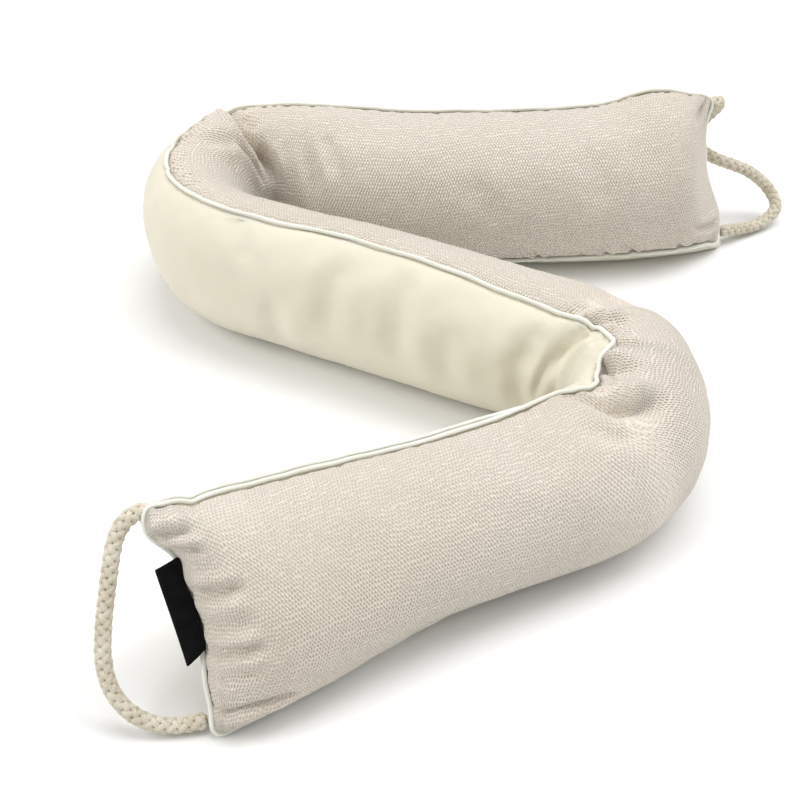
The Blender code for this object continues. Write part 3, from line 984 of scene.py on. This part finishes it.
def frames_along(path):
    """Two directions square to a path at each of its points, without twist."""
    along = unit(np.gradient(path, axis=0))
    first = np.zeros_like(path)
    start = np.cross(along[0], [0.0, 0.0, 1.0])
    if np.linalg.norm(start) < 0.1:
        start = np.cross(along[0], [1.0, 0.0, 0.0])
    first[0] = start / np.linalg.norm(start)
    for index in range(1, len(path)):
        carried = first[index - 1] - along[index] * (first[index - 1] @ along[index])
        first[index] = carried / np.linalg.norm(carried)
    return first, np.cross(along, first)


def strand_rings(path, travel, first, second, way, strand, made):
    """One strand of the braid: it winds one way round, over and under the others."""
    swing = way * 2.0 * math.pi * travel / BRAID_PITCH + 2.0 * math.pi * strand / STRANDS
    wave = way * np.cos(STRANDS * 2.0 * math.pi * travel / BRAID_PITCH) * BRAID_WAVE
    slack = smooth_line(made.normal(size=len(path)), 14)
    slack = slack / np.abs(slack).max() * STRAND_SLACK
    closing = np.clip(np.minimum(travel, travel[-1] - travel) / CLOSING, 0, 1)
    closing = np.sqrt(np.maximum(1.0 - (1.0 - closing) ** 2, 0.04))
    radial = first * np.cos(swing)[:, None] + second * np.sin(swing)[:, None]
    centre = path + radial * ((BRAID_RADIUS + wave + slack) * closing)[:, None]
    beside = unit(np.cross(unit(np.gradient(centre, axis=0)), radial))
    uneven = 1.0 + STRAND_UNEVEN * smooth_line(made.normal(size=len(path)), 6)
    cosines, sines = circle(STRAND_SIDES)
    deep = (closing * STRAND_DEEP)[:, None] * cosines
    wide = (closing * STRAND_WIDE * uneven)[:, None] * sines
    return (centre[:, None] + radial[:, None] * deep[:, :, None]
            + beside[:, None] * wide[:, :, None])


class Tubes:
    """Open tubes gathered into one mesh: their points, faces and cloth coordinates."""

    def __init__(self):
        self.points = []
        self.faces = []
        self.uvs = []

    def add(self, rings, travel, side_width, capped):
        rows, sides = rings.shape[:2]
        base = sum(len(block) for block in self.points)
        index = base + np.arange(rows * sides).reshape(rows, sides)
        across = np.arange(sides + 1) * side_width
        uv = np.stack(np.meshgrid(travel, across, indexing="ij"), axis=2)
        self.points.append(rings.reshape(-1, 3))
        self.faces.extend(cells_of(np.concatenate([index, index[:, :1]], axis=1)).tolist())
        self.uvs.append(cells_of(uv).reshape(-1))
        if capped:
            self.faces.extend([index[0, ::-1].tolist(), index[-1].tolist()])
            self.uvs.append(np.zeros(2 * sides * 2))


def make_rope(name, node, points, seed, look, core_shade_look):
    """A braided rope along the points, with a core darkened by painted shade."""
    path, length = smooth_path(points, ROPE_STEP)
    first, second = frames_along(path)
    travel = np.linspace(0.0, length, len(path))
    made = np.random.default_rng(seed)
    tubes = Tubes()
    for way in (1.0, -1.0):
        for strand in range(STRANDS):
            rings = strand_rings(path, travel, first, second, way, strand, made)
            tubes.add(rings, travel, STRAND_SIDE, True)
    strand_faces = len(tubes.faces)
    # the core tube, darkened with painted shade, shows between the strands
    cosines, sines = circle(CORE_SIDES)
    spokes = first[:, None] * cosines[:, None] + second[:, None] * sines[:, None]
    tubes.add(path[:, None] + spokes * CORE_RADIUS, travel, CORE_SIDE, False)
    rope = add_piece(name, np.concatenate(tubes.points), tubes.faces, [look, core_shade_look],
                     [("weave", np.concatenate(tubes.uvs))])
    inside = np.zeros(len(tubes.faces), np.int32)
    inside[strand_faces:] = 1
    rope.data.polygons.foreach_set("material_index", inside)
    rope.data.update()
    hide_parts(node)


def smooth_line(values, times):
    for _ in range(times):
        padded = np.concatenate([values[:1], values, values[-1:]])
        values = (padded[:-2] + 2.0 * values + padded[2:]) / 4.0
    return values


# --- the woven tab
LABEL_TOP_DEG = 53.0
LABEL_FOOT_DEG = 105.0
LABEL_STEPS = 36
LABEL_DEEP = 0.0118
LABEL_SHEET = 0.00036
LABEL_HALF_GAP = 0.0009
LABEL_BOW = 0.0007
LABEL_AHEAD = 0.0037
LABEL_OUT = 0.0004


def label_section():
    """The section of the folded tab: out along one layer, round the fold and back, with the
    thickness of the tape. Its columns are the way out of the seam and the way to the front."""
    outline = []
    for share in np.linspace(0.0, 1.0, 14):
        bow = LABEL_BOW * math.sin(math.pi * share) * 0.8
        outline.append((share * LABEL_DEEP, LABEL_HALF_GAP + bow))
    for share in np.linspace(0.0, 1.0, 7)[1:-1]:
        turned = math.pi * share
        outline.append((LABEL_DEEP + LABEL_HALF_GAP * math.sin(turned),
                        LABEL_HALF_GAP * math.cos(turned)))
    for share in np.linspace(1.0, 0.0, 14):
        bow = LABEL_BOW * math.sin(math.pi * share) * 0.4
        outline.append((share * LABEL_DEEP, -LABEL_HALF_GAP + bow))
    outline = np.array(outline)
    slope = unit(np.gradient(outline, axis=0))
    side = np.column_stack([slope[:, 1], -slope[:, 0]]) * LABEL_SHEET / 2.0
    return np.concatenate([outline - side, (outline + side)[::-1]])


def close_edges(mesh, steps, count):
    """Closes the two cut edges of the tape, across its thickness."""
    work = bmesh.new()
    work.from_mesh(mesh)
    work.verts.ensure_lookup_table()
    for base in (0, (steps - 1) * count):
        for index in range(count // 2 - 1):
            places = (index, index + 1, count - 2 - index, count - 1 - index)
            corners = [work.verts[base + place] for place in places]
            work.faces.new(corners if base == 0 else corners[::-1])
    bmesh.ops.recalc_face_normals(work, faces=work.faces)
    work.to_mesh(mesh)
    work.free()


def make_label(look):
    """The bare black tape, folded double and sewn into the seam of the near end."""
    turn = np.radians(np.linspace(LABEL_TOP_DEG, LABEL_FOOT_DEG, LABEL_STEPS))
    seam = end_seam(0.0, turn)
    calm = seam.copy()
    for _ in range(400):
        calm[1:-1] = (calm[:-2] + 2.0 * calm[1:-1] + calm[2:]) / 4.0
    _, along, _, sizes = route.at(np.zeros(1))
    east, north = along[0]
    lean = math.radians(float(sizes[-1][0]))
    across = np.array([north, -east, 0.0])
    forward = across * math.cos(lean) + np.array([0.0, 0.0, 1.0]) * math.sin(lean)
    seam_width = running_lengths(seam)[-1]
    section = label_section()
    out = section[:, :1]
    ahead = section[:, 1:]
    rows = []
    for share, sewn, straight in zip(np.linspace(0.0, 1.0, LABEL_STEPS), seam, calm):
        droop = 0.20 + 0.50 * share
        outward = -np.array([east, north, droop])
        outward /= np.linalg.norm(outward)
        curl = 0.0016 * math.sin(math.pi * share) - 0.0010 * (share - 0.5)
        place = sewn + (straight - sewn) * np.clip(out / LABEL_DEEP, 0, 1)
        rows.append(place + outward * (LABEL_OUT + out) + forward * ahead * (1.0 + 0.4 * share)
                    + forward * (LABEL_AHEAD + curl * 0.3))
    grid = np.array(rows)
    count = len(section)
    width = np.linspace(0.0, seam_width, LABEL_STEPS)
    lengths = running_lengths(section)
    uv = np.stack([np.repeat(width[:, None], count, axis=1),
                   np.repeat(lengths[None], LABEL_STEPS, axis=0)], axis=2)
    made = grid_object("label_tab", grid, look, (("weave", uv),), closed=True, flip=True)
    close_edges(made.data, LABEL_STEPS, count)
    made.data.shade_smooth()
    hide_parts("label")


# --- build
NEAR_ROPE_SEED = 9
FAR_ROPE_SEED = 8
rope_look = rope_cotton()
core_shade_look = rope_core_painted_shade()
make_rope("rope_near", "handle_near", NEAR_ROPE, NEAR_ROPE_SEED, rope_look, core_shade_look)
make_rope("rope_far", "handle_far", FAR_ROPE, FAR_ROPE_SEED, rope_look, core_shade_look)

front_panel = make_panel("panel_front", front_fabric(), True)
back_panel = make_panel("panel_back", back_fabric(), False)
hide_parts("cushion")
piping_cord, piping_fold = make_piping(piping_fabric())
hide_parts("piping")
make_label(label_cloth())

# --- floor, light and camera
FLOOR_HALF = 6.0
FLOOR_DROP = 0.0002
floor_mesh = bpy.data.meshes.new("floor")
floor_corners = [(-FLOOR_HALF, -FLOOR_HALF, 0.0), (FLOOR_HALF, -FLOOR_HALF, 0.0),
                 (FLOOR_HALF, FLOOR_HALF, 0.0), (-FLOOR_HALF, FLOOR_HALF, 0.0)]
floor_mesh.from_pydata(floor_corners, [], [(0, 1, 2, 3)])
floor_mesh.materials.append(floor_paint())
floor = add_object("floor", floor_mesh)
floor.location = (0.0, 0.0, -FLOOR_DROP)

world = bpy.data.worlds.new("studio")
bpy.context.scene.world = world
world.use_nodes = True
background = world.node_tree.nodes["Background"]
background.inputs["Color"].default_value = (0.98, 0.99, 1.0, 1.0)
background.inputs["Strength"].default_value = 0.45

SPREAD_DEG = 42.0


def soft_light(name, place, strength, colour):
    """A broad, even light from one side, as from a large softbox far away."""
    data = bpy.data.lights.new(name, "SUN")
    data.energy = strength
    data.angle = math.radians(SPREAD_DEG)
    data.color = colour
    light = add_object(name, data)
    light.location = place
    light.rotation_euler = (-Vector(place)).to_track_quat("-Z", "Y").to_euler()


soft_light("key", (-1.5, -0.35, 1.3), 1.45, (1.0, 0.99, 0.97))
soft_light("top", (0.3, 0.4, 2.0), 1.5, (0.99, 0.99, 1.0))
soft_light("side", (1.3, 0.3, 1.4), 1.15, (1.0, 0.99, 0.98))

VIEW_DISTANCE = 0.9874
VIEW_ELEVATION_DEG = 40.14
VIEW_TARGET = (-0.030, 0.0205, 0.0)
LENS_MM = 72.0
SENSOR_MM = 36.0
camera_data = bpy.data.cameras.new("camera")
camera_data.lens = LENS_MM
camera_data.sensor_width = SENSOR_MM
camera = add_object("camera", camera_data)
tilt = math.radians(VIEW_ELEVATION_DEG)
camera.location = (VIEW_TARGET[0], VIEW_TARGET[1] - VIEW_DISTANCE * math.cos(tilt),
                   VIEW_TARGET[2] + VIEW_DISTANCE * math.sin(tilt))
camera.rotation_euler = (math.pi / 2.0 - tilt, 0.0, 0.0)
bpy.context.scene.camera = camera
bpy.context.scene.view_settings.view_transform = "Standard"
